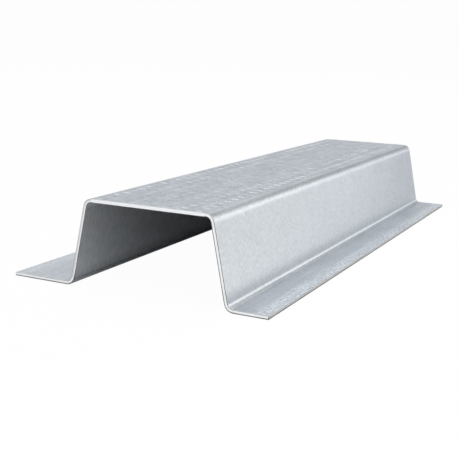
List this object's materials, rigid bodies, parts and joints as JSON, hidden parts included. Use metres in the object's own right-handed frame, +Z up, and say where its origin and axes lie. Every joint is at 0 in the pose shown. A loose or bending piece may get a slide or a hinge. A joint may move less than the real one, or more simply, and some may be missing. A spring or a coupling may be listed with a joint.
{
  "type": "hat channel",
  "caption": "Short length of roll-formed galvanised hat channel: flat crown, leaning webs and outturned flanges of unequal width, open underneath.",
  "frame": {"origin": "on the underside of the flanges, midway between the two flange tips and midway along the length", "axes": "+Y along the channel, +X across it towards the narrow flange, +Z up through the crown"},
  "size_m": [0.0706, 0.16, 0.0222],
  "materials": {
    "galvanised_steel": "satin galvanised sheet with fine roll marks and a knurled crown"
  },
  "bodies": {
    "root": {"hat_channel": "galvanised_steel"}
  },
  "joints": []
}
